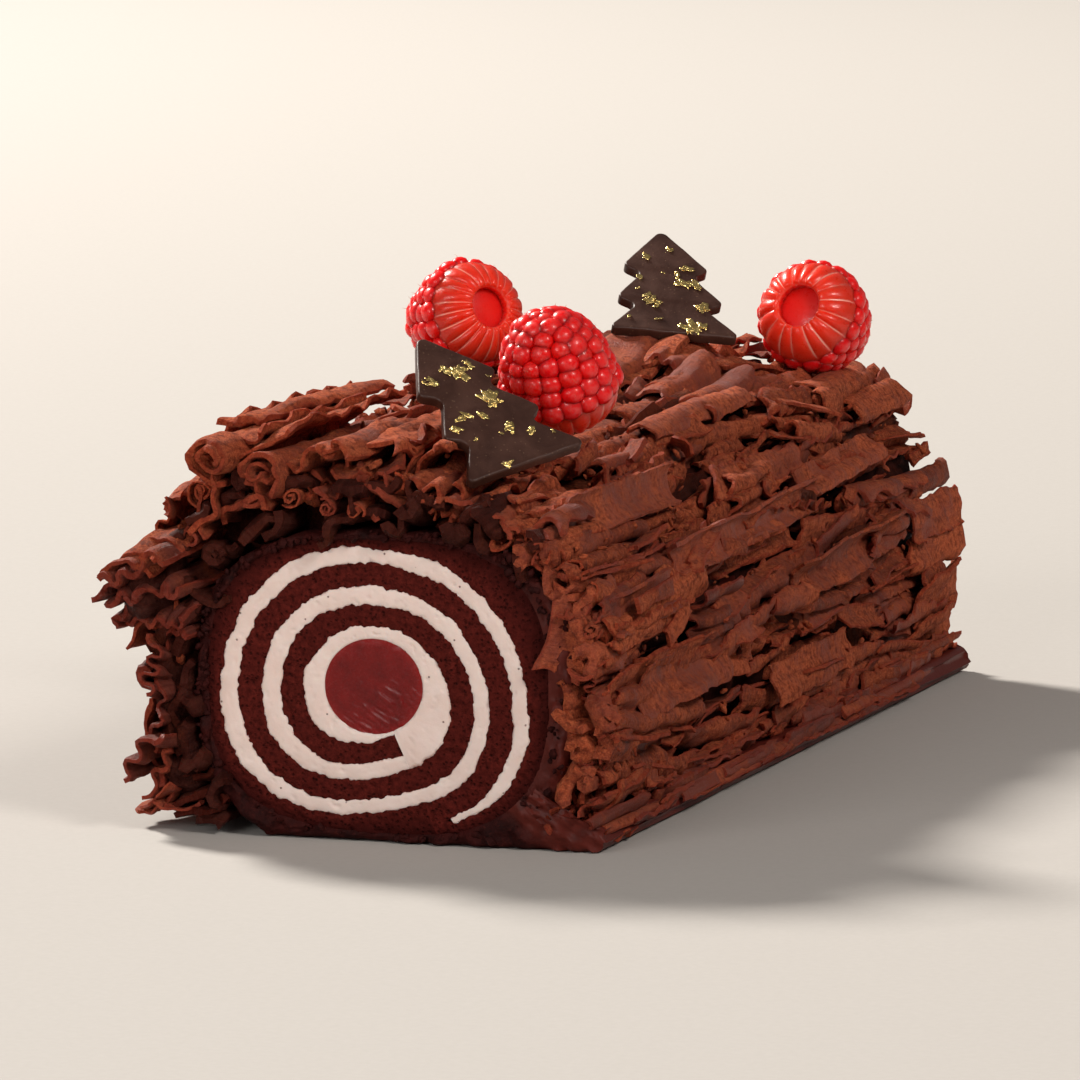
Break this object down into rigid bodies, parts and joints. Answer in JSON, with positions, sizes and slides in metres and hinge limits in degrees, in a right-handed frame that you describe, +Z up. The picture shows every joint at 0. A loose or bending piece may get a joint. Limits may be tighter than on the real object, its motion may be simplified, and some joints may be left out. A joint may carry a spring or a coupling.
{
  "type": "yule log cake",
  "caption": "Log-shaped rolled sponge cake with pale cream and a jelly core, under a bark of chocolate shavings, topped with berries and tree-shaped plaques.",
  "frame": {"origin": "middle of the log's length on its underside, below the axis of the jelly core", "axes": "+Y along the log, away from the end seen in front; +X across it, to the right from the front; +Z up"},
  "size_m": [0.0944, 0.2462, 0.0937],
  "materials": {
    "sponge": "matt, crumbly",
    "cream": "smooth, satin",
    "jelly": "glossy, rippled",
    "coat": "glossy",
    "bark": "matt, dusted",
    "raspberry": "glossy, translucent",
    "plaque": "satin"
  },
  "bodies": {
    "root": {"sponge_roll": "sponge", "cream_filling": "cream", "jelly_core": "jelly", "chocolate_coat": "coat", "bark": "bark", "raspberry_left": "raspberry", "raspberry_middle": "raspberry", "raspberry_right": "raspberry", "tree_plaque_back": "plaque", "tree_plaque_front": "plaque"}
  },
  "joints": []
}
